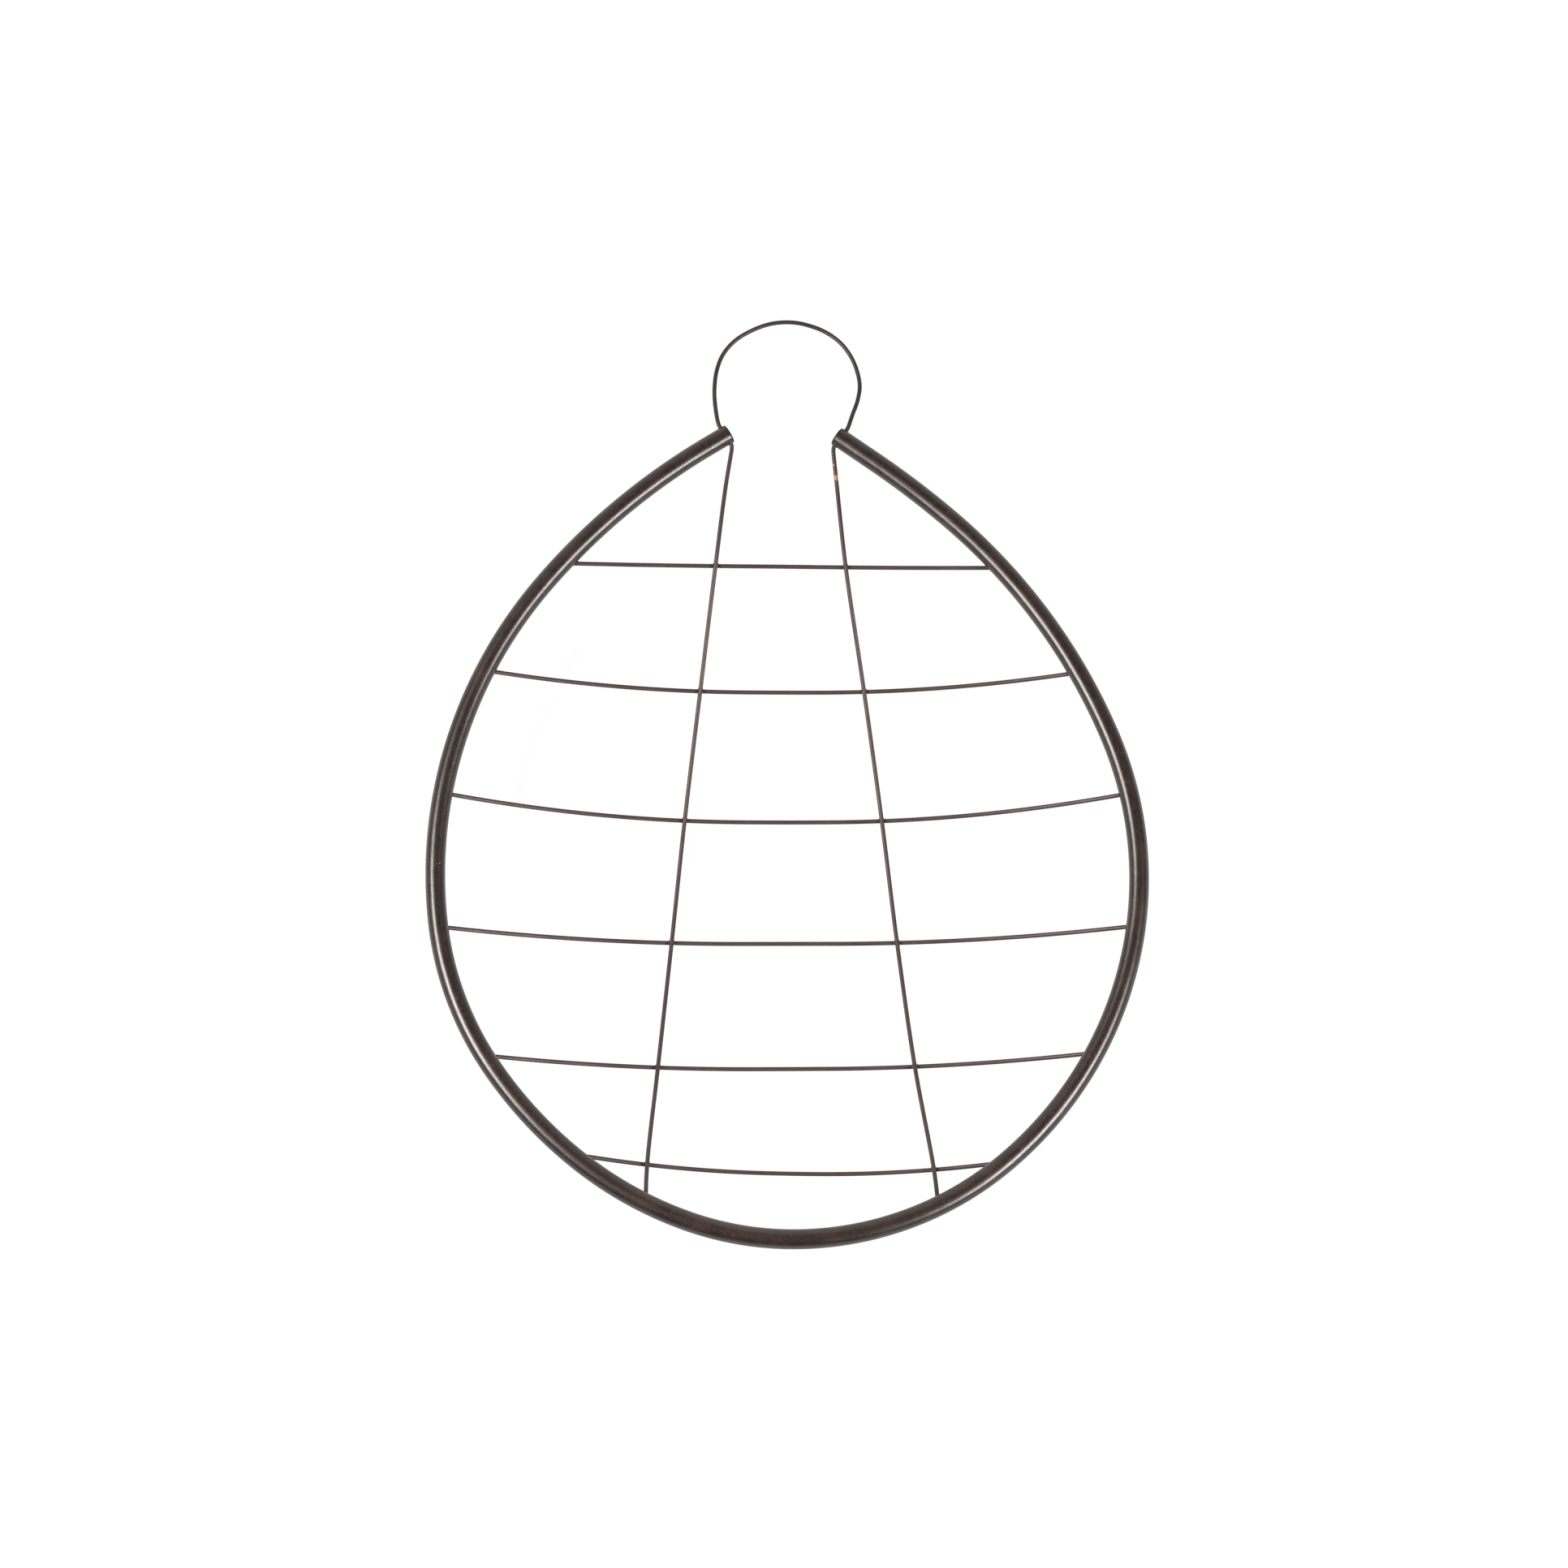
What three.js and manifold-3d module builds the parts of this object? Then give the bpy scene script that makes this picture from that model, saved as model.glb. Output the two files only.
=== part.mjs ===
// A hand-made litter frame: one round tube bent into a pear-shaped rim that is open at its head end,
// six sagging cross wires inside it, two long wires on top of those, and a wire loop past the head. The long
// wires and the loop meet in holes through the tube's ends. Millimetres, +Z up, head end towards +Y.
//
// While it is drawn, the rim lies in the plane z = 0 with its foot at x = 0, y = 0. At the end the whole
// frame is moved so that its origin is at the bottom centre of its box: the belly then rests on z = 0.

import * as THREE from 'three';
import { mergeVertices } from 'three/addons/utils/BufferGeometryUtils.js';
import Module from 'manifold-3d';

const wasm = await Module();
wasm.setup();

// Stock sizes
const TUBE_RADIUS = 11.1;
const TUBE_WALL = 1.5;
const WIRE_RADIUS = 2.4;

// Bend schedule of the rim, from the foot to each end: [radius, sweep in degrees], then a straight end
const LEFT_BENDS = [[345, 20], [416, 19], [489, 16.5], [375, 28], [525, 45.5], [752, 19]];
const LEFT_STRAIGHT = 27;
const RIGHT_BENDS = [[361, 40], [431, 71.5], [677, 26.5], [1000, 6.5]];
const RIGHT_STRAIGHT = 49;

// Tube ends
const HOLE_RADIUS = 2.8; // cross-drilled, for a long wire and the loop to meet in
const HOLE_TO_END = 3.6; // from the hole's axis to the cut end of the tube
const CAP_HEIGHT = 1.5;
const CAP_EDGE = 0.6; // height of the cap's straight edge, below its dome

// Cross wires from the head to the foot. left and right are where the wire meets the rim's centreline,
// along Y. bow is how far its middle lies nearer to the foot than its ends, and sag how far it lies below
// them. crossLeft and crossRight are where the long wires lie on it, along X.
const CROSS_WIRES = [
  { left: 776, right: 770.5, bow: -3, sag: 14, crossLeft: -88, crossRight: 59.5 },
  { left: 649.5, right: 647, bow: 6.5, sag: 64, crossLeft: -105.5, crossRight: 80.5 },
  { left: 506.5, right: 506, bow: 10, sag: 92, crossLeft: -123, crossRight: 100.5 },
  { left: 352.5, right: 353.5, bow: -1.5, sag: 92, crossLeft: -137, crossRight: 117 },
  { left: 206, right: 209, bow: 2.5, sag: 68, crossLeft: -151, crossRight: 135.5 },
  { left: 95.5, right: 86, bow: 10, sag: 40, crossLeft: -161.5, crossRight: 155 },
];
const LEVEL_SHARE = 0.12; // middle share of each cross wire that is level, so that the belly stands firmly
const STACKING = 5.4; // from the centre of a cross wire up to the centre of a long wire on it

// Long wires and head loop
const FOOT_LEFT = 40; // where each long wire meets the rim's centreline, along Y
const FOOT_RIGHT = 37;
const MOUTH = TUBE_RADIUS + 0.3; // from the tube's axis to where the wire is clear of its hole
const NECK_CORNER = 3; // from a mouth to the corner of the bend towards the bed
const NECK_END = 7; // from that corner to the end of the bend
const SHOULDER_LEFT = [-77, 867, -3]; // a point of each long wire between its neck and the first cross wire
const SHOULDER_RIGHT = [50, 867, -3];
const LOOP_START = 3; // straight stretch from a mouth into the loop
const LOOP_POINTS = [
  [-87.5, 953], [-90, 981], [-87.2, 1007.5], [-79.6, 1027.3], [-65.7, 1043.6], [-45.5, 1056.2],
  [-25, 1063.5], [-5, 1065.3], [12, 1063], [35, 1054.5], [53.5, 1041], [66, 1024], [73.5, 1005],
  [76.2, 987.5], [73.6, 970.2], [68, 954],
];

// Modelling
const CLEARANCE = 0.3; // between pieces that touch or are welded together
const TUBE_SIDES = 12;
const BORE_SIDES = 8;
const WIRE_SIDES = 8;
const HOLE_SIDES = 16;
const CAP_SIDES = 24;
const BEND_STEP = 4.5; // degrees
const CROSS_WIRE_STEPS = 22;
const LONG_WIRE_STEP = 18;
const LOOP_STEP = 11;
const NECK_STEPS = 4;
const UP = new THREE.Vector3(0, 0, 1);

const TUBE_PAINT = { color: 0x3a322d, roughness: 0.42, metalness: 0.75 };
const WIRE_STEEL = { color: 0x5a4d47, roughness: 0.5, metalness: 0.8 };

// One bend in the rim's plane. side is 1 where it turns left as it is followed, and -1 where it turns right.
class Bend extends THREE.Curve {
  constructor(start, heading, radius, sweep, side) {
    super();
    Object.assign(this, { start, heading, radius, sweep, side });
  }

  getPoint(t, target = new THREE.Vector3()) {
    const turned = this.heading + this.side * this.sweep * t;
    const reach = this.side * this.radius;
    const x = this.start.x + reach * (Math.sin(turned) - Math.sin(this.heading));
    const y = this.start.y - reach * (Math.cos(turned) - Math.cos(this.heading));
    return target.set(x, y, 0);
  }
}

// A curve followed the other way.
class Reversed extends THREE.Curve {
  constructor(curve) {
    super();
    this.curve = curve;
  }

  getPoint(t, target) {
    return this.curve.getPoint(1 - t, target);
  }
}

// A cross wire's centreline: a parabola in plan and in height, level across its middle.
class CrossWireLine extends THREE.Curve {
  constructor({ left, right, bow, sag }) {
    super();
    this.from = rimPoint(leftHalf, left);
    this.to = rimPoint(rightHalf, right);
    Object.assign(this, { bow, sag });
  }

  getPoint(t, target = new THREE.Vector3()) {
    const across = 2 * t - 1;
    const rise = Math.max(0, (Math.abs(across) - LEVEL_SHARE) / (1 - LEVEL_SHARE));
    target.lerpVectors(this.from, this.to, t);
    target.y -= this.bow * (1 - across * across);
    target.z -= this.sag * (1 - rise * rise);
    return target;
  }

  // A long wire's centre where it lies on this one.
  crossing(x) {
    const point = this.getPoint((x - this.from.x) / (this.to.x - this.from.x));
    point.z += STACKING;
    return point;
  }
}

// A path for an extrusion, made of stretches that each have their own number of steps. Its section stays
// level: the section's second axis is always the one nearest to upright.
class LevelPath extends THREE.Curve {
  constructor(stretches) {
    super();
    this.stations = [];
    for (const { curve, steps } of stretches) {
      for (let i = 0; i <= steps; i++) {
        const tangent = curve.getTangentAt(i / steps);
        if (i === 0 && this.stations.length > 0) {
          this.stations.at(-1).tangent.add(tangent).normalize();
        } else {
          this.stations.push({ point: curve.getPointAt(i / steps), tangent });
        }
      }
    }
  }

  getSpacedPoints() {
    return this.stations.map(({ point }) => point);
  }

  computeFrenetFrames() {
    const tangents = this.stations.map(({ tangent }) => tangent);
    const normals = tangents.map((tangent) => new THREE.Vector3().crossVectors(UP, tangent).normalize());
    const binormals = tangents.map((tangent, i) => new THREE.Vector3().crossVectors(tangent, normals[i]));
    return { tangents, normals, binormals };
  }
}

// Half of the rim from the foot to one end: its stretches, its end point and the direction it ends in.
function rimHalf(bends, straight, side) {
  const stretches = [];
  let place = new THREE.Vector3();
  let heading = side > 0 ? 0 : Math.PI;
  for (const [radius, degrees] of bends) {
    const sweep = THREE.MathUtils.degToRad(degrees);
    const curve = new Bend(place, heading, radius, sweep, side);
    stretches.push({ curve, steps: Math.round(degrees / BEND_STEP) });
    place = curve.getPoint(1);
    heading += side * sweep;
  }
  const direction = new THREE.Vector3(Math.cos(heading), Math.sin(heading), 0);
  const end = place.clone().addScaledVector(direction, straight);
  stretches.push({ curve: new THREE.LineCurve3(place, end), steps: 1 });
  return { stretches, end, direction };
}

const leftHalf = rimHalf(LEFT_BENDS, LEFT_STRAIGHT, -1);
const rightHalf = rimHalf(RIGHT_BENDS, RIGHT_STRAIGHT, 1);
const bothHalves = [leftHalf, rightHalf];

// The rim's centreline round the foot, with the given number of stretches on each side of it.
function rimPath(leftCount, rightCount) {
  const left = leftHalf.stretches.slice(0, leftCount).reverse();
  const turned = left.map(({ curve, steps }) => ({ curve: new Reversed(curve), steps }));
  return new LevelPath([...turned, ...rightHalf.stretches.slice(0, rightCount)]);
}

// Where one half of the rim's centreline passes a given Y.
function rimPoint(half, y) {
  const { curve } = half.stretches.find((stretch) => stretch.curve.getPoint(1).y >= y);
  let low = 0;
  let high = 1;
  while (high - low > 1e-9) {
    const middle = (low + high) / 2;
    if (curve.getPoint(middle).y < y) {
      low = middle;
    } else {
      high = middle;
    }
  }
  return curve.getPoint(low);
}

// The hole across a tube end: its middle, and its direction out of the rim.
function holeOf(half) {
  const middle = half.end.clone().addScaledVector(half.direction, -HOLE_TO_END);
  const outward = new THREE.Vector3(-half.direction.y, half.direction.x, 0);
  if (outward.y < 0) {
    outward.negate();
  }
  return { middle, outward };
}

// A regular polygon with the area of the circle it stands for, with flats upwards, downwards and sideways.
function roundSection(radius, sides) {
  const step = (2 * Math.PI) / sides;
  const reach = radius * Math.sqrt(step / Math.sin(step));
  const corners = [];
  for (let i = 0; i < sides; i++) {
    const angle = (i + 0.5) * step;
    corners.push(new THREE.Vector2(reach * Math.cos(angle), reach * Math.sin(angle)));
  }
  return corners;
}

function extruded(section, path) {
  const steps = path.stations.length - 1;
  return new THREE.ExtrudeGeometry(section, { steps, bevelEnabled: false, extrudePath: path });
}

function rod(path, radius, sides) {
  return extruded(new THREE.Shape(roundSection(radius, sides)), path);
}

function solid(geometry) {
  const bare = geometry.clone();
  bare.deleteAttribute('normal');
  bare.deleteAttribute('uv');
  const merged = mergeVertices(bare);
  return new wasm.Manifold(new wasm.Mesh({
    numProp: 3,
    vertProperties: merged.attributes.position.array,
    triVerts: new Uint32Array(merged.index.array),
  }));
}

function geometryOf(body) {
  const { vertProperties, triVerts } = body.getMesh();
  const geometry = new THREE.BufferGeometry();
  geometry.setAttribute('position', new THREE.BufferAttribute(vertProperties, 3));
  geometry.setIndex(new THREE.BufferAttribute(triVerts, 1));
  return geometry;
}

// Turns a shape that is drawn along +Y to another direction and puts its foot at a point.
function aimed(geometry, direction, place) {
  geometry.applyQuaternion(new THREE.Quaternion().setFromUnitVectors(new THREE.Vector3(0, 1, 0), direction));
  return geometry.translate(place.x, place.y, place.z);
}

function rimTube() {
  const section = new THREE.Shape(roundSection(TUBE_RADIUS, TUBE_SIDES));
  section.holes.push(new THREE.Path(roundSection(TUBE_RADIUS - TUBE_WALL, BORE_SIDES)));
  let body = solid(extruded(section, rimPath(leftHalf.stretches.length, rightHalf.stretches.length)));
  for (const half of bothHalves) {
    const { middle, outward } = holeOf(half);
    const drill = new THREE.CylinderGeometry(HOLE_RADIUS, HOLE_RADIUS, 3 * TUBE_RADIUS, HOLE_SIDES);
    body = body.subtract(solid(aimed(drill, outward, middle)));
  }
  return geometryOf(body);
}

// A shallow domed disc with a softened edge, on a tube end.
function endCap(half) {
  const profile = [
    [0, 0],
    [TUBE_RADIUS - 0.2, 0],
    [TUBE_RADIUS, 0.2],
    [TUBE_RADIUS, CAP_EDGE],
    [TUBE_RADIUS - 0.7, CAP_HEIGHT - 0.5],
    [TUBE_RADIUS / 2, CAP_HEIGHT - 0.1],
    [0, CAP_HEIGHT],
  ].map(([x, y]) => new THREE.Vector2(x, y));
  const foot = half.end.clone().addScaledVector(half.direction, CLEARANCE);
  return aimed(new THREE.LatheGeometry(profile, CAP_SIDES), half.direction, foot);
}

// The space that a length of rim takes up with the clearance round it: wire ends are coped with it.
function rimSpace(leftCount, rightCount) {
  return solid(rod(rimPath(leftCount, rightCount), TUBE_RADIUS + CLEARANCE, TUBE_SIDES));
}

const crossWireLines = CROSS_WIRES.map((wire) => new CrossWireLine(wire));

function crossWire(line) {
  const wire = rod(new LevelPath([{ curve: line, steps: CROSS_WIRE_STEPS }]), WIRE_RADIUS, WIRE_SIDES);
  return geometryOf(solid(wire).subtract(rimSpace(leftHalf.stretches.length, rightHalf.stretches.length)));
}

// The long wire on one side, from the middle of the hole down to the foot of the rim.
function longWire(half, shoulder, foot, crossingKey) {
  const { middle, outward } = holeOf(half);
  const start = middle.clone().addScaledVector(outward, -CLEARANCE / 2);
  const mouth = middle.clone().addScaledVector(outward, -MOUTH);
  const corner = mouth.clone().addScaledVector(outward, -NECK_CORNER);
  const bedStart = new THREE.Vector3(...shoulder);
  const toBed = bedStart.clone().sub(corner).normalize();
  const neckEnd = corner.clone().addScaledVector(toBed, NECK_END);
  const crossings = crossWireLines.map((line, i) => line.crossing(CROSS_WIRES[i][crossingKey]));
  const bed = new THREE.CatmullRomCurve3([neckEnd, bedStart, ...crossings, rimPoint(half, foot)]);
  const path = new LevelPath([
    { curve: new THREE.LineCurve3(start, mouth), steps: 1 },
    { curve: new THREE.QuadraticBezierCurve3(mouth, corner, neckEnd), steps: NECK_STEPS },
    { curve: bed, steps: Math.round(bed.getLength() / LONG_WIRE_STEP) },
  ]);
  return geometryOf(solid(rod(path, WIRE_RADIUS, WIRE_SIDES)).subtract(rimSpace(3, 2)));
}

// The wire past the head, from the middle of one hole round to the middle of the other.
function headLoop() {
  const [left, right] = bothHalves.map((half) => {
    const { middle, outward } = holeOf(half);
    const reach = (distance) => middle.clone().addScaledVector(outward, distance);
    return { start: reach(CLEARANCE / 2), mouth: reach(MOUTH), first: reach(MOUTH + LOOP_START) };
  });
  const points = LOOP_POINTS.map(([x, y]) => new THREE.Vector3(x, y, 0));
  const loop = new THREE.CatmullRomCurve3([left.mouth, left.first, ...points, right.first, right.mouth]);
  const path = new LevelPath([
    { curve: new THREE.LineCurve3(left.start, left.mouth), steps: 1 },
    { curve: loop, steps: Math.round(loop.getLength() / LOOP_STEP) },
    { curve: new THREE.LineCurve3(right.mouth, right.start), steps: 1 },
  ]);
  return geometryOf(solid(rod(path, WIRE_RADIUS, WIRE_SIDES)));
}

function addPiece(group, name, geometry, finish) {
  const mesh = new THREE.Mesh(geometry, new THREE.MeshStandardMaterial(finish));
  mesh.name = name;
  group.add(mesh);
}

const litter = new THREE.Group();
addPiece(litter, 'rim_tube', rimTube(), TUBE_PAINT);
addPiece(litter, 'end_cap_left', endCap(leftHalf), TUBE_PAINT);
addPiece(litter, 'end_cap_right', endCap(rightHalf), TUBE_PAINT);
crossWireLines.forEach((line, i) => addPiece(litter, `cross_wire_${i + 1}`, crossWire(line), WIRE_STEEL));
const leftWire = longWire(leftHalf, SHOULDER_LEFT, FOOT_LEFT, 'crossLeft');
const rightWire = longWire(rightHalf, SHOULDER_RIGHT, FOOT_RIGHT, 'crossRight');
addPiece(litter, 'long_wire_left', leftWire, WIRE_STEEL);
addPiece(litter, 'long_wire_right', rightWire, WIRE_STEEL);
addPiece(litter, 'head_loop', headLoop(), WIRE_STEEL);

const box = new THREE.Box3().setFromObject(litter);
litter.position.set(-(box.min.x + box.max.x) / 2, -(box.min.y + box.max.y) / 2, -box.min.z);

export default litter;
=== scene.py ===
"""The looks of a hand-made litter frame: a bent tube for its rim, a dished bed of wires and a wire loop
at its head, on a pale floor under two soft lamps.

Shapes are drawn in millimetres, with the rim's centreline in the plane z = 0, its foot at x = 0, y = 0 and
its head towards +Y. placed() moves them to the frame's own place, in metres.
"""

import math

import bpy
import numpy as np
from mathutils import Matrix, Vector


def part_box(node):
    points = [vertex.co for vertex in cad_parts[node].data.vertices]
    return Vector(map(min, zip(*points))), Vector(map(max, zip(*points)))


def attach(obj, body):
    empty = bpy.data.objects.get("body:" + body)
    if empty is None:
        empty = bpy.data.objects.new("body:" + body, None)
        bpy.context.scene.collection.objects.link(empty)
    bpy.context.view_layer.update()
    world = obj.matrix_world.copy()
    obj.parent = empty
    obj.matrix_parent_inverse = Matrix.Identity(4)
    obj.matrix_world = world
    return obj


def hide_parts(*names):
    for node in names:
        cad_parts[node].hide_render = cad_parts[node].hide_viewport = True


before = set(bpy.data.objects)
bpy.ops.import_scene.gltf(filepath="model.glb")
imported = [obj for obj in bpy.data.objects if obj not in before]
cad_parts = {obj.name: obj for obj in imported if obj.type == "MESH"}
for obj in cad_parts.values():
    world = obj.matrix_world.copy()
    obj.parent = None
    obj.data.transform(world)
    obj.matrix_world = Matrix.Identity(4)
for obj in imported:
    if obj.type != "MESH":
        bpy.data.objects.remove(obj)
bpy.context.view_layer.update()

UP = np.array([0.0, 0.0, 1.0])
RIGHTWARD = np.array([1.0, 0.0, 0.0])

# Stock sizes
TUBE_RADIUS = 11.1
TUBE_WALL = 1.5
WIRE_RADIUS = 2.4

# Bend schedule of the rim, from the foot to each end: (radius, sweep in degrees), then a straight end
LEFT_BENDS = [(345, 20), (416, 19), (489, 16.5), (375, 28), (525, 45.5), (752, 19)]
LEFT_STRAIGHT = 27
RIGHT_BENDS = [(361, 40), (431, 71.5), (677, 26.5), (1000, 6.5)]
RIGHT_STRAIGHT = 49

# Tube ends
HOLE_RADIUS = 2.8
HOLE_TO_END = 3.6
CAP_GAP = 0.25
CAP_HEIGHT = 1.5
CAP_STEM = 3  # how far the cap reaches into the tube
CAP_STEM_GAP = 0.2
CAP_RING = [(0, -0.4), (0.15, -0.1)]  # the underside of the cap's rim: heights, and radii from the tube's
CAP_EDGE = 0.3  # where the dome starts
CAP_ROUNDING = 0.5  # a dome's radius shrinks with this power of the cosine
CAP_TURN = math.radians(89)  # just short of the dome's pole

# Cross wires from the head to the foot: where each end meets the rim's centreline along Y, how far the
# middle bows to the foot and sags, and where the long wires lie on it along X
CROSS_WIRES = [
    dict(left=776, right=770.5, bow=-3, sag=14, crossings=(-88, 59.5)),
    dict(left=649.5, right=647, bow=6.5, sag=64, crossings=(-105.5, 80.5)),
    dict(left=506.5, right=506, bow=10, sag=92, crossings=(-123, 100.5)),
    dict(left=352.5, right=353.5, bow=-1.5, sag=92, crossings=(-137, 117)),
    dict(left=206, right=209, bow=2.5, sag=68, crossings=(-151, 135.5)),
    dict(left=95.5, right=86, bow=10, sag=40, crossings=(-161.5, 155)),
]
LEVEL_SHARE = 0.12  # the share of a cross wire's half that is level
STACKING = 5.4  # how far a long wire's centre lies above a cross wire's

# Long wires and head loop
FEET = (40, 37)  # where each long wire meets the rim's centreline along Y
MOUTH = TUBE_RADIUS + 0.3  # from a hole's middle to where the neck's bend starts
NECK_CORNER = 3  # from there to the corner that the bend rounds off
NECK_END = 7  # and from the corner to the bend's end
NECK_POINTS = 9
SHOULDERS = ((-77, 867, -3), (50, 867, -3))
LOOP_START = 3
LOOP_POINTS = [
    (-87.5, 953), (-90, 981), (-87.2, 1007.5), (-79.6, 1027.3), (-65.7, 1043.6), (-45.5, 1056.2),
    (-25, 1063.5), (-5, 1065.3), (12, 1063), (35, 1054.5), (53.5, 1041), (66, 1024), (73.5, 1005),
    (76.2, 987.5), (73.6, 970.2), (68, 954),
]

# Meshes
TUBE_SIDES = 56
BORE_SIDES = 32
WIRE_SIDES = 24
STEP = 3.0
SHARP_ANGLE = math.radians(40)  # edges that turn more than this are shaded sharp
TUBE_EDGE = 0.4  # the softened edge of each tube end
CAP_STEPS = 18
DRILL_REACH = 1.5  # times the tube's radius
WIRE_SINK = 6  # how far a cross wire's end stops short of the rim's centreline
WIRE_SINK_POINTS = 2  # how many points short of it a long wire's foot stops
RIM_END_SEARCH = 40  # how many points from a wire's end the rim's surface is looked for

# Welds: a fillet's reach along the tube and along the wire, and a nugget between crossing wires
END_FILLET = (0.9, 0.8)
MOUTH_FILLET = (1.1, 0.9)
FILLET_SIDES = 28
FILLET_STEPS = 6
FILLET_HOLLOW = 0.3
FILLET_DEPTH = 0.6
FILLET_OVERLAP = 0.2
NUGGET_SIDES = 24
NUGGET_ROWS = 9
NUGGET_RADIUS = 3.3
NUGGET_LOBE = 0.7
NUGGET_HEIGHT = 1.5
NUGGET_POLE = 80
NUGGET_UNEVEN = 0.12
UV_NAME = "along_and_round"

# Colours
PAINT_COLOURS = (0.0106, 0.0058, 0.0045), (0.0195, 0.0111, 0.0088), (0.027, 0.0145, 0.0105)
RUBBED_PAINT = (0.085, 0.066, 0.055)
OCHRE_CHIP = (0.36, 0.21, 0.085)
WIRE_COLOURS = (0.043, 0.029, 0.0245), (0.08, 0.056, 0.0475), (0.064, 0.035, 0.0245)  # dark, light, rust
RUST_SPECK = (0.16, 0.08, 0.035)
RUST_SPOT = (0.34, 0.2, 0.09)
WELD_COLOURS = (0.02, 0.014, 0.012), (0.06, 0.038, 0.028)  # dark, light

# Where the paint is chipped and the wire is rusted: a point of the drawing and a radius
TUBE_CHIPS = [((-394.5, 423, 9), 2), ((199, 803, 8), 3.6), ((-319, 681, 8), 2.6)]
WIRE_RUST = [((49, 878, 0), 7), ((46, 893, 0), 3)]
RUSTY_CROSS_WIRES = (2, 6)
RAGGED = 0.6  # how much noise breaks the edge of a chip or spot

# The stage: a floor, two lamps and a dim room that is brighter behind the object, towards +Y
FLOOR_HALF = 60
ROOM_LIGHT = 0.05
BACK_LIGHT = 0.9
BACK_START = 0.45  # the sine of the angle off the plane y = 0 where the room gets brighter
BACK_FULL = 0.85  # and where it is brightest
LAMP_LENGTH = 2.2
LAMP_WIDTH = 0.7
LAMP_DISTANCE = 3.4
LAMPS = [("left_lamp", 45, 172, 175), ("right_lamp", 47, 338, 158)]  # off axis, round it, power

# The camera: where it looks, in the drawing, and from how far and how high
AIM = (-10.4, 516.9, 0)
DISTANCE = 6.097
ELEVATION = math.radians(75)
LENS = 124.84
SENSOR = 36


def unit(vector):
    return np.asarray(vector, float) / np.linalg.norm(vector)


# Centrelines -----------------------------------------------------------------------------------------


def directions(line):
    """The unit direction of a line at each of its points."""
    ahead = np.gradient(line, axis=0)
    return ahead / np.linalg.norm(ahead, axis=1)[:, None]


def rim_half(bends, straight, side):
    """Points along half of the rim's centreline from the foot, its end and the direction it ends in."""
    heading = 0.0 if side > 0 else math.pi
    place = np.zeros(3)
    points = [place]
    for radius, degrees in bends:
        sweep = math.radians(degrees)
        centre = place + side * radius * np.array([-math.sin(heading), math.cos(heading), 0])
        count = math.ceil(radius * sweep / STEP)
        for angle in heading + side * np.linspace(0, sweep, count + 1)[1:]:
            points.append(centre + side * radius * np.array([math.sin(angle), -math.cos(angle), 0]))
        heading += side * sweep
        place = points[-1]
    direction = np.array([math.cos(heading), math.sin(heading), 0])
    end = place + straight * direction
    count = math.ceil(straight / STEP)
    points += [place + (end - place) * share for share in np.linspace(0, 1, count + 1)[1:]]
    return dict(points=np.array(points), end=end, direction=direction)


HALVES = (rim_half(LEFT_BENDS, LEFT_STRAIGHT, -1), rim_half(RIGHT_BENDS, RIGHT_STRAIGHT, 1))
RIM_LINE = np.vstack([HALVES[0]["points"][::-1], HALVES[1]["points"][1:]])


def rim_point(half, y):
    """Where one half of the rim's centreline passes a given Y."""
    x = np.interp(y, half["points"][:, 1], half["points"][:, 0])
    return np.array([x, y, 0.0])


def hole_of(half):
    """The middle of the hole across a tube end, and its direction out of the rim."""
    along = half["direction"]
    outward = np.array([-along[1], along[0], 0])
    return half["end"] - HOLE_TO_END * along, outward * math.copysign(1, outward[1])


def cross_wire_point(wire, t):
    """A point of a cross wire's centreline: a parabola in plan and in height, level across its middle."""
    start, end = rim_point(HALVES[0], wire["left"]), rim_point(HALVES[1], wire["right"])
    across = 2 * t - 1
    rise = max(0, (abs(across) - LEVEL_SHARE) / (1 - LEVEL_SHARE))
    drop = np.array([0, wire["bow"] * (1 - across**2), wire["sag"] * (1 - rise**2)])
    return start + (end - start) * t - drop


def crossing(wire, x):
    """The cross wire's centre where a long wire lies on it."""
    start, end = rim_point(HALVES[0], wire["left"]), rim_point(HALVES[1], wire["right"])
    return cross_wire_point(wire, (x - start[0]) / (end[0] - start[0]))


def spline(points):
    """A centripetal Catmull-Rom curve through the points, in short steps."""
    points = [np.array(p, float) for p in points]
    padded = [2 * points[0] - points[1], *points, 2 * points[-1] - points[-2]]
    made = [points[0]]
    for a, b, c, d in zip(padded, padded[1:], padded[2:], padded[3:]):
        before, own, after = (math.sqrt(np.linalg.norm(q - p)) for p, q in ((a, b), (b, c), (c, d)))
        leave = ((b - a) / before - (c - a) / (before + own) + (c - b) / own) * own
        arrive = ((c - b) / own - (d - b) / (own + after) + (d - c) / after) * own
        for t in np.linspace(0, 1, math.ceil(np.linalg.norm(c - b) / STEP) + 1)[1:]:
            hermite = np.array([
                2 * t**3 - 3 * t**2 + 1,
                t**3 - 2 * t**2 + t,
                3 * t**2 - 2 * t**3,
                t**3 - t**2,
            ])
            made.append(hermite @ np.array([b, leave, c, arrive]))
    return np.array(made)


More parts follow.
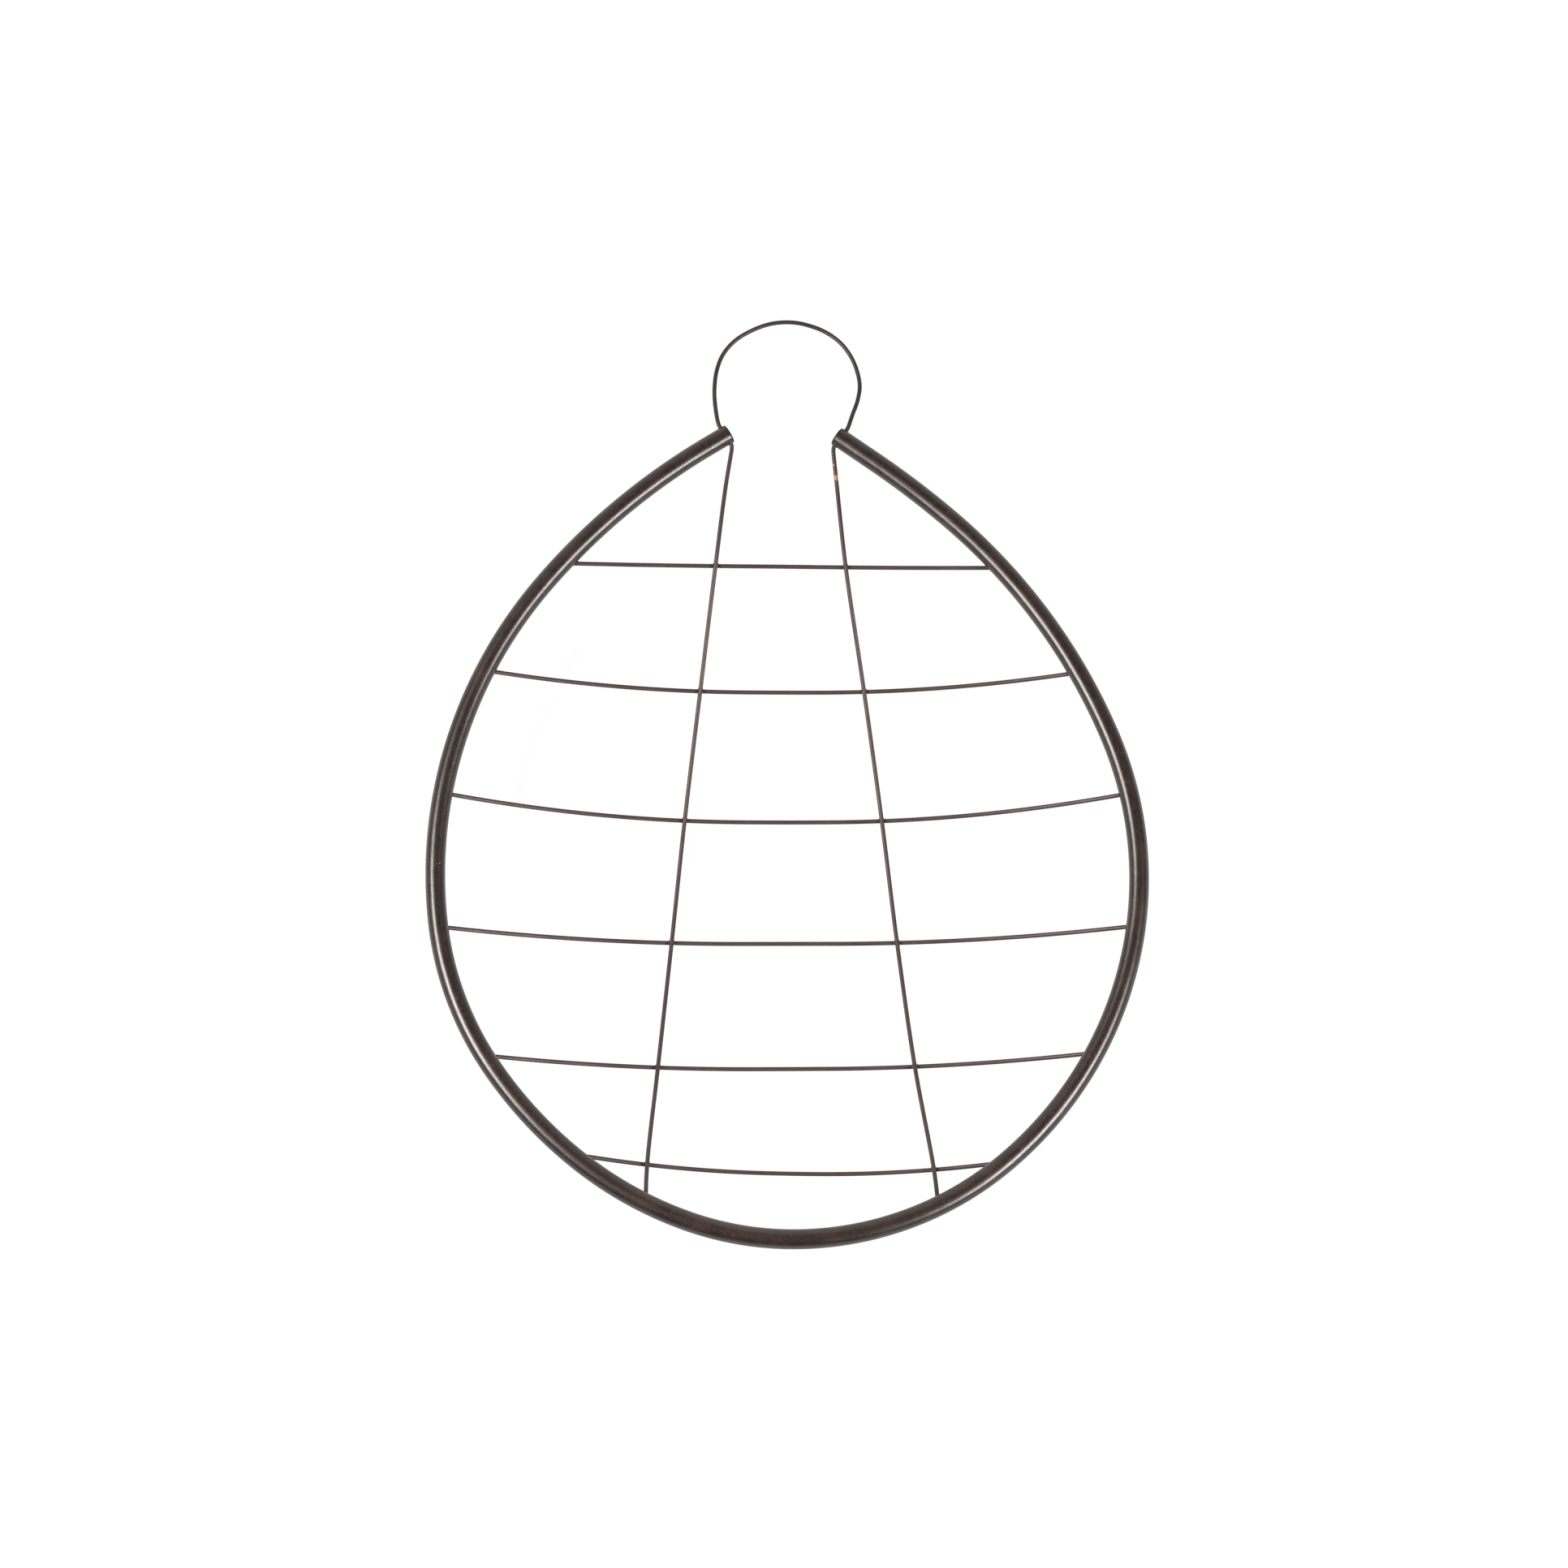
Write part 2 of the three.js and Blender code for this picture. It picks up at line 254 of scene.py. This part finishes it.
def long_wire_line(side):
    """The long wire on one side, from the middle of its hole down to the foot of the rim."""
    half = HALVES[side]
    middle, outward = hole_of(half)
    mouth = middle - MOUTH * outward
    corner = mouth - NECK_CORNER * outward
    neck_end = corner + NECK_END * unit(SHOULDERS[side] - corner)
    shares = np.linspace(0, 1, NECK_POINTS)[:, None]
    neck = (1 - shares) ** 2 * mouth + 2 * shares * (1 - shares) * corner + shares**2 * neck_end
    crossings = [crossing(wire, wire["crossings"][side]) + STACKING * UP for wire in CROSS_WIRES]
    bed = spline([neck_end, SHOULDERS[side], *crossings, rim_point(half, FEET[side])])
    return np.vstack([middle, neck, bed[1:]])


def loop_line():
    """The head loop, from the middle of one hole round to the middle of the other."""
    (left, left_out), (right, right_out) = (hole_of(half) for half in HALVES)
    left_mouth, right_mouth = left + MOUTH * left_out, right + MOUTH * right_out
    points = [(x, y, 0) for x, y in LOOP_POINTS]
    first, last = left_mouth + LOOP_START * left_out, right_mouth + LOOP_START * right_out
    return np.vstack([left, spline([left_mouth, first, *points, last, right_mouth]), right])


def rim_end(line, starts_in_rim):
    """Where a wire comes out of the rim and which way it leads, then the rim's nearest point and its
    direction. The line either starts in the rim or ends in it."""
    line = line if starts_in_rim else line[::-1]
    away = np.array([np.linalg.norm(RIM_LINE - point, axis=1).min() for point in line[:RIM_END_SEARCH]])
    k = int(np.argmax(away > TUBE_RADIUS))
    nearest = int(np.argmin(np.linalg.norm(RIM_LINE - line[k], axis=1)))
    return line[k], unit(line[k + 1] - line[k]), RIM_LINE[nearest], directions(RIM_LINE)[nearest]


# The frame's own place: the drawing's foot and middle are put where the CAD rim's are
TUBE_FLAT = TUBE_RADIUS - 0.13  # from the CAD tube's axis to its flats
rim_low, rim_high = (np.array(corner) * 1000 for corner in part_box("rim_tube"))
SHIFT = np.array([
    (rim_low[0] + rim_high[0] - RIM_LINE[:, 0].min() - RIM_LINE[:, 0].max()) / 2,
    rim_low[1] + TUBE_FLAT,
    (rim_low[2] + rim_high[2]) / 2,
])


def placed(points):
    return (np.asarray(points, float) + SHIFT) / 1000


# Meshes ----------------------------------------------------------------------------------------------


def mesh_object(name, points, faces, uvs):
    """An object from points in the drawing, and one UV pair for each corner of each face."""
    mesh = bpy.data.meshes.new(name)
    mesh.from_pydata(placed(points).tolist(), [], faces)
    mesh.uv_layers.new(name=UV_NAME).data.foreach_set("uv", np.asarray(uvs, float).ravel())
    mesh.shade_smooth()
    mesh.set_sharp_from_angle(angle=SHARP_ANGLE)
    made = bpy.data.objects.new(name, mesh)
    bpy.context.scene.collection.objects.link(made)
    return made


def finished(made, slot, material, *nodes):
    """Gives a piece its body and its finish, and hides the CAD nodes that it stands for."""
    made.data.materials.clear()
    made.data.materials.append(material)
    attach(made, "root")
    if nodes:
        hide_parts(*nodes)


def rings(line, ahead, radii, sides):
    """Circles square to a line, one at each of its points, each starting at its underside."""
    sideways = np.cross(UP, ahead)
    sideways /= np.linalg.norm(sideways, axis=1)[:, None]
    upward = np.cross(ahead, sideways)
    angles = np.arange(sides)[:, None] / sides * 2 * math.pi
    across = sideways[:, None] * np.sin(angles) - upward[:, None] * np.cos(angles)
    return line[:, None] + across * np.reshape(radii, (-1, 1, 1))


def grid_faces(rows, columns, rows_meet):
    """Quads between rows of vertices. Each row is a ring, and the last row may meet the first one."""
    faces, corners = [], []
    for row in range(rows if rows_meet else rows - 1):
        following = (row + 1) % rows
        for column in range(columns):
            beside = (column + 1) % columns
            faces.append((
                row * columns + column,
                row * columns + beside,
                following * columns + beside,
                following * columns + column,
            ))
            corners += [(row, column), (row, column + 1), (row + 1, column + 1), (row + 1, column)]
    return faces, np.array(corners)


def turned(name, line, ahead, radii, sides, looped=False):
    """A surface of rings round a line. U runs along the line and V round it, in metres. Its ends are
    closed, or, where it is looped, its last ring meets its first."""
    line = np.asarray(line, float)
    radii = np.asarray(radii, float)
    points = rings(line, ahead, radii, sides).reshape(-1, 3)
    faces, corners = grid_faces(len(line), sides, looped)
    steps = np.linalg.norm(np.diff(line, axis=0, append=line[:1]), axis=1)
    reach = np.concatenate([[0], np.cumsum(steps)]) / 1000
    uvs = np.stack([reach[corners[:, 0]], corners[:, 1] / sides * 2 * math.pi * radii.max() / 1000], 1)
    if not looped:
        last = (len(line) - 1) * sides
        faces += [tuple(range(sides - 1, -1, -1)), tuple(range(last, last + sides))]
        uvs = np.vstack([uvs, np.repeat([[reach[0], 0], [reach[len(line) - 1], 0]], sides, axis=0)])
    return mesh_object(name, points, faces, uvs)


def rod(name, line, radius, sides):
    return turned(name, line, directions(line), np.full(len(line), radius), sides)


def joined(name, parts):
    """One object from several that touch or lie apart."""
    with bpy.context.temp_override(active_object=parts[0], selected_editable_objects=parts):
        bpy.ops.object.join()
    parts[0].name = name
    parts[0].data.name = name
    return parts[0]


def rim_tube():
    """The tube with its wall, its softened end edges and the drilled holes."""
    ahead = directions(RIM_LINE)
    first, last = RIM_LINE[0] + TUBE_EDGE * ahead[0], RIM_LINE[-1] - TUBE_EDGE * ahead[-1]
    line = np.vstack([RIM_LINE[0], first, RIM_LINE[1:-1], last, RIM_LINE[-1]])
    radii = np.full(len(line), TUBE_RADIUS)
    radii[[0, -1]] -= TUBE_EDGE
    tube = turned(
        "bent_rim_tube",
        np.vstack([line, RIM_LINE[::-1]]),
        np.vstack([ahead[0], ahead, ahead[-1], ahead[::-1]]),
        np.concatenate([radii, np.full(len(RIM_LINE), TUBE_RADIUS - TUBE_WALL)]),
        TUBE_SIDES,
        looped=True,
    )
    reach = DRILL_REACH * TUBE_RADIUS
    for half in HALVES:
        middle, outward = hole_of(half)
        drill = rod("drill", middle + np.outer((-1, 1), reach * outward), HOLE_RADIUS, BORE_SIDES)
        cut = tube.modifiers.new("hole", "BOOLEAN")
        cut.solver = "EXACT"
        cut.object = drill
        drilled = tube.evaluated_get(bpy.context.evaluated_depsgraph_get())
        tube.data = bpy.data.meshes.new_from_object(drilled)
        tube.modifiers.clear()
        bpy.data.objects.remove(drill)
    return tube


def end_cap(name, half):
    """A shallow domed plug with a soft edge, in a tube end."""
    stem = TUBE_RADIUS - TUBE_WALL - CAP_STEM_GAP
    profile = [(-CAP_STEM, stem), (CAP_GAP, stem)]
    profile += [(CAP_GAP + height, TUBE_RADIUS + inset) for height, inset in CAP_RING]
    for turn in np.linspace(0, CAP_TURN, CAP_STEPS):
        height = CAP_GAP + CAP_EDGE + CAP_HEIGHT * math.sin(turn)
        profile.append((height, TUBE_RADIUS * math.cos(turn) ** CAP_ROUNDING))
    heights, radii = zip(*profile)
    line = half["end"] + np.outer(heights, half["direction"])
    return turned(name, line, np.repeat([half["direction"]], len(line), axis=0), radii, TUBE_SIDES)


def fillet(name, wire_point, wire_direction, tube_point, tube_direction, on_tube, on_wire, draw):
    """A small uneven fillet round a wire where it goes into a tube. It reaches on_tube along the tube and
    on_wire along the wire."""
    first = unit(np.cross(wire_direction, tube_direction))
    second = np.cross(wire_direction, first)
    flat = wire_direction - tube_direction * (wire_direction @ tube_direction)

    def on_surface(angle, radius):
        start = wire_point + radius * (math.cos(angle) * first + math.sin(angle) * second)
        off = start - tube_point
        off = off - tube_direction * (off @ tube_direction)
        a, b, c = flat @ flat, off @ flat, off @ off - TUBE_RADIUS**2
        return start + wire_direction * (-b + math.sqrt(b * b - a * c)) / a

    points = []
    for k in range(FILLET_SIDES):
        angle = 2 * math.pi * k / FILLET_SIDES
        reach, height = on_tube * draw.uniform(0.85, 1.15), on_wire * draw.uniform(0.8, 1.2)
        corner = on_surface(angle, WIRE_RADIUS)
        outer = on_surface(angle, WIRE_RADIUS + reach)
        inner = on_surface(angle, WIRE_RADIUS - FILLET_OVERLAP)
        top = corner + height * wire_direction
        heart = corner + FILLET_HOLLOW * (outer - corner) + FILLET_HOLLOW * (top - corner)
        points.append(inner - FILLET_DEPTH * wire_direction)
        points.append(inner + height * wire_direction)
        for share in np.linspace(0, 1, FILLET_STEPS):
            points.append((1 - share) ** 2 * top + 2 * share * (1 - share) * heart + share**2 * outer)
        points.append(outer - FILLET_DEPTH * wire_direction)
    columns = len(points) // FILLET_SIDES
    faces, corners = grid_faces(FILLET_SIDES, columns, True)
    return mesh_object(name, points, faces, corners / 1000)


def nugget(name, upper, lower, draw):
    """A small weld between two wires that cross. Its four lobes fill the corners between them."""
    middle = (upper + lower) / 2
    points = []
    lobes = 4 * np.arange(NUGGET_SIDES) / NUGGET_SIDES * 2 * math.pi
    reach = NUGGET_RADIUS - NUGGET_LOBE * np.cos(lobes) + draw.normal(0, NUGGET_UNEVEN, NUGGET_SIDES)
    for turn in np.linspace(-NUGGET_POLE, NUGGET_POLE, NUGGET_ROWS):
        spread, height = math.cos(math.radians(turn)), NUGGET_HEIGHT * math.sin(math.radians(turn))
        for k in range(NUGGET_SIDES):
            angle = 2 * math.pi * k / NUGGET_SIDES
            out = reach[k] * spread * np.array([math.cos(angle), math.sin(angle), 0])
            points.append(middle + out + height * UP)
    faces, corners = grid_faces(NUGGET_ROWS, NUGGET_SIDES, False)
    last = (NUGGET_ROWS - 1) * NUGGET_SIDES
    faces += [tuple(range(NUGGET_SIDES - 1, -1, -1)), tuple(range(last, last + NUGGET_SIDES))]
    uvs = np.vstack([corners, np.zeros((2 * NUGGET_SIDES, 2))]) / 1000
    return mesh_object(name, points, faces, uvs)


# Materials -------------------------------------------------------------------------------------------


class Finish:
    """A material, with short ways to add nodes to it. Its textures are in metres."""

    def __init__(self, name, **shader):
        self.material = bpy.data.materials.new(name)
        self.material.use_nodes = True
        self.tree = self.material.node_tree
        self.shader = self.tree.nodes["Principled BSDF"]
        for socket, value in shader.items():
            self.shader.inputs[socket.replace("_", " ")].default_value = value
        self.place = self.add("TexCoord").outputs["Object"]
        self.surface = self.add("UVMap", uv_map=UV_NAME).outputs["UV"]

    def add(self, kind, inputs=(), **settings):
        made = self.tree.nodes.new("ShaderNode" + kind)
        for name, value in settings.items():
            setattr(made, name, value)
        for key, value in dict(inputs).items():
            if isinstance(value, bpy.types.NodeSocket):
                self.tree.links.new(value, made.inputs[key])
            else:
                made.inputs[key].default_value = value
        return made

    def set(self, socket, value):
        self.tree.links.new(value, self.shader.inputs[socket])

    def noise(self, scale, detail, stretch=None):
        """Noise from 0 to 1. A stretch, (along, round) in features for each metre, follows the rod."""
        source = self.place
        if stretch:
            source = self.add("Mapping", {0: self.surface, 3: (*stretch, 1)}).outputs[0]
        return self.add("TexNoise", {"Vector": source, "Scale": scale, "Detail": detail}).outputs[0]

    def spread(self, value, low, high, start=0.0, end=1.0):
        """The value's range from low to high, spread over start to end."""
        return self.add("MapRange", {0: value, 1: low, 2: high, 3: start, 4: end}).outputs[0]

    def maths(self, operation, *values):
        return self.add("Math", enumerate(values), operation=operation).outputs[0]

    def mix(self, factor, a, b):
        made = self.add("Mix", {0: factor}, data_type="RGBA")
        for socket, value in ((made.inputs[6], a), (made.inputs[7], b)):
            if isinstance(value, tuple):
                socket.default_value = (*value, 1)
            else:
                self.tree.links.new(value, socket)
        return made.outputs[2]

    def spot(self, point, radius):
        """1 within a ragged patch round a point of the drawing, and 0 outside it."""
        centre = tuple(placed(point))
        away = self.add("VectorMath", {0: self.place, 1: centre}, operation="DISTANCE").outputs["Value"]
        near = self.spread(away, 0, radius / 1000, 1, 0)
        broken = self.maths("MULTIPLY_ADD", self.noise(900, 3), RAGGED, -RAGGED / 2)
        return self.spread(self.maths("ADD", near, broken), 0.45, 0.6)

    def bump(self, heights):
        """Relief from (value, height in millimetres) pairs, the broadest first."""
        normal = None
        for value, height in heights:
            made = self.add("Bump", {"Height": value, "Distance": height / 1000, "Strength": 1.0})
            if normal:
                self.tree.links.new(normal, made.inputs["Normal"])
            normal = made.outputs[0]
        self.set("Normal", normal)


def paint():
    """Dark brown, half glossy paint on steel: mottled, pitted, with hairlines and chips down to rust."""
    finish = Finish(
        "worn_dark_paint", Metallic=0.0, Specular_IOR_Level=0.8, Specular_Tint=(1, 0.93, 0.9, 1),
    )
    dark, light, reddish = PAINT_COLOURS
    cloud = finish.noise(28, 3)
    mottle = finish.noise(210, 4)
    grain = finish.noise(620, 3)
    hatch = finish.noise(1, 2, stretch=(520, 60))
    scuffs = finish.maths("MULTIPLY", hatch, finish.spread(finish.noise(11, 3), 0.5, 0.62))
    colour = finish.mix(finish.spread(mottle, 0.35, 0.7), dark, light)
    colour = finish.mix(finish.spread(cloud, 0.5, 0.75), colour, reddish)
    worn = finish.maths("MULTIPLY", finish.spread(grain, 0.6, 0.74), finish.spread(cloud, 0.42, 0.6))
    colour = finish.mix(finish.maths("MULTIPLY", worn, 0.55), colour, RUBBED_PAINT)
    flecks = finish.spread(finish.noise(480, 2), 0.735, 0.76)
    chips = finish.maths("MULTIPLY", flecks, finish.spread(mottle, 0.5, 0.6))
    for point, radius in TUBE_CHIPS:
        chips = finish.maths("MAXIMUM", chips, finish.spot(point, radius))
    colour = finish.mix(chips, colour, OCHRE_CHIP)
    finish.set("Base Color", colour)
    rough = finish.spread(finish.maths("ADD", mottle, grain), 0.7, 1.3, 0.31, 0.36)
    finish.set("Roughness", rough)
    finish.bump([(cloud, 0.45), (mottle, 0.004), (scuffs, 0.02), (grain, 0.001)])
    return finish.material


def drawn_steel(name, rusted=0.0, tone=1.0):
    """Brown-grey drawn wire: streaks along it and a thin uneven rust, more of it the higher rusted is.
    The tone scales its colours."""
    dark, light, rust = (tuple(tone * np.array(colour)) for colour in WIRE_COLOURS)
    finish = Finish(name, Metallic=0.45)
    streak = finish.noise(1, 3, stretch=(22, 1500))
    fine = finish.noise(1, 2, stretch=(90, 3600))
    cloud = finish.noise(34, 3)
    grain = finish.noise(700, 3)
    colour = finish.mix(finish.spread(streak, 0.35, 0.68), dark, light)
    colour = finish.mix(finish.spread(cloud, 0.62 - rusted, 0.8 - rusted), colour, rust)
    specks = finish.maths("MULTIPLY", finish.spread(grain, 0.6, 0.7), finish.spread(cloud, 0.4, 0.6))
    colour = finish.mix(finish.maths("MULTIPLY", specks, 0.6), colour, RUST_SPECK)
    for point, radius in WIRE_RUST:
        colour = finish.mix(finish.spot(point, radius), colour, RUST_SPOT)
    finish.set("Base Color", colour)
    finish.set("Roughness", finish.spread(finish.maths("ADD", streak, grain), 0.7, 1.3, 0.36, 0.56))
    finish.bump([(cloud, 0.15), (grain, 0.03), (streak, 0.03), (fine, 0.012)])
    return finish.material


def weld_metal():
    """Dull, blotchy, dark weld metal."""
    finish = Finish("dull_weld", Metallic=0.2)
    blotch = finish.noise(420, 4)
    colour = finish.mix(finish.spread(blotch, 0.35, 0.65), *WELD_COLOURS)
    finish.set("Base Color", colour)
    finish.set("Roughness", finish.spread(blotch, 0.3, 0.7, 0.4, 0.62))
    finish.bump([(blotch, 0.12), (finish.noise(1500, 2), 0.03)])
    return finish.material


# The pieces ------------------------------------------------------------------------------------------

draw = np.random.default_rng(7)
PAINT = paint()
WIRE = drawn_steel("drawn_steel_wire")
RUSTED_WIRE = drawn_steel("drawn_steel_wire_rusted", rusted=0.1)
LOOP_WIRE = drawn_steel("drawn_steel_wire_dark", tone=0.65)
WELD = weld_metal()

finished(rim_tube(), "painted_tube", PAINT, "rim_tube")
for side, half in zip(("left", "right"), HALVES):
    finished(end_cap(f"tube_plug_{side}", half), "painted_tube", PAINT, f"end_cap_{side}")

rim_welds = []
crossing_welds = []
for number, wire in enumerate(CROSS_WIRES, start=1):
    span = np.linalg.norm(rim_point(HALVES[1], wire["right"]) - rim_point(HALVES[0], wire["left"]))
    shares = np.linspace(0, 1, math.ceil(span / STEP) + 1)
    whole = np.array([cross_wire_point(wire, t) for t in shares])
    line = whole[(WIRE_SINK < shares * span) & (shares * span < span - WIRE_SINK)]
    rusty = number in RUSTY_CROSS_WIRES
    piece = rod(f"round_cross_wire_{number}", line, WIRE_RADIUS, WIRE_SIDES)
    finished(piece, "bare_wire", RUSTED_WIRE if rusty else WIRE, f"cross_wire_{number}")
    for k, starts_in_rim in enumerate((True, False)):
        rim_welds.append(fillet(f"end_{number}_{k}", *rim_end(whole, starts_in_rim), *END_FILLET, draw))
    for x in wire["crossings"]:
        lower = crossing(wire, x)
        crossing_welds.append(nugget(f"tack_{number}_{x}", lower + STACKING * UP, lower, draw))

for side, half in enumerate(HALVES):
    name = ("left", "right")[side]
    line = long_wire_line(side)
    piece = rod(f"round_long_wire_{name}", line[:-WIRE_SINK_POINTS], WIRE_RADIUS, WIRE_SIDES)
    finished(piece, "bare_wire", WIRE, f"long_wire_{name}")
    rim_welds.append(fillet(f"foot_{name}", *rim_end(line, False), *END_FILLET, draw))
    middle, outward = hole_of(half)
    for way in (outward, -outward):
        mouth = middle + TUBE_RADIUS * way
        ends = (mouth, way, middle, half["direction"])
        rim_welds.append(fillet(f"mouth_{name}", *ends, *MOUTH_FILLET, draw))
finished(rod("round_head_loop", loop_line(), WIRE_RADIUS, WIRE_SIDES), "bare_wire", LOOP_WIRE, "head_loop")
finished(joined("welds_at_the_rim", rim_welds), "bare_wire", WELD)
finished(joined("welds_at_the_crossings", crossing_welds), "bare_wire", WELD)


# The stage -------------------------------------------------------------------------------------------


def floor():
    """A flat floor that is white mostly by its own light, so that the lamps leave hardly a shadow on it."""
    corners = FLOOR_HALF * np.array([(-1, -1, 0), (1, -1, 0), (1, 1, 0), (-1, 1, 0)])
    mesh = bpy.data.meshes.new("floor")
    mesh.from_pydata(corners.tolist(), [], [(0, 1, 2, 3)])
    made = bpy.data.objects.new("floor", mesh)
    bpy.context.scene.collection.objects.link(made)
    white = Finish(
        "pale_floor", Base_Color=(0.05, 0.05, 0.05, 1), Roughness=0.9, Specular_IOR_Level=0.0,
        Emission_Color=(1, 1, 1, 1), Emission_Strength=0.945,
    )
    mesh.materials.append(white.material)


def looking(made, place, target, across):
    """Puts a lamp or camera in its place, looking at the target, with its own X axis along across."""
    bpy.context.scene.collection.objects.link(made)
    away = unit(place - target)
    axes = Matrix([across, np.cross(away, across), away]).transposed()
    made.matrix_world = Matrix.LocRotScale(Vector(place), axes.to_quaternion(), None)


target = placed(AIM)
back = np.array([0, -math.cos(ELEVATION), math.sin(ELEVATION)])
over = np.array([0, math.sin(ELEVATION), math.cos(ELEVATION)])


def lamp(name, off_axis, around, power):
    """A long soft box at an angle from the camera's axis, round it anticlockwise from the right."""
    tilt, turn = math.radians(off_axis), math.radians(around)
    sideways = math.cos(turn) * RIGHTWARD + math.sin(turn) * over
    across = math.cos(turn) * over - math.sin(turn) * RIGHTWARD
    light = bpy.data.lights.new(name, "AREA")
    light.shape = "RECTANGLE"
    light.size = LAMP_LENGTH
    light.size_y = LAMP_WIDTH
    light.energy = power
    way = math.cos(tilt) * back + math.sin(tilt) * sideways
    looking(bpy.data.objects.new(name, light), target + LAMP_DISTANCE * way, target, across)


floor()
for settings in LAMPS:
    lamp(*settings)

world = bpy.data.worlds.new("room")
world.use_nodes = True
room = world.node_tree
direction = room.nodes.new("ShaderNodeTexCoord").outputs["Generated"]
split = room.nodes.new("ShaderNodeSeparateXYZ")
fade = room.nodes.new("ShaderNodeMapRange")
for socket, value in enumerate((BACK_START, BACK_FULL, ROOM_LIGHT, BACK_LIGHT), start=1):
    fade.inputs[socket].default_value = value
room.nodes["Background"].inputs["Color"].default_value = (1, 0.94, 0.9, 1)
room.links.new(direction, split.inputs[0])
room.links.new(split.outputs["Y"], fade.inputs[0])
room.links.new(fade.outputs[0], room.nodes["Background"].inputs["Strength"])
bpy.context.scene.world = world
bpy.context.scene.view_settings.view_transform = "Standard"

camera = bpy.data.cameras.new("camera")
camera.lens = LENS
camera.sensor_width = SENSOR
view = bpy.data.objects.new("camera", camera)
looking(view, target + DISTANCE * back, target, RIGHTWARD)
bpy.context.scene.camera = view
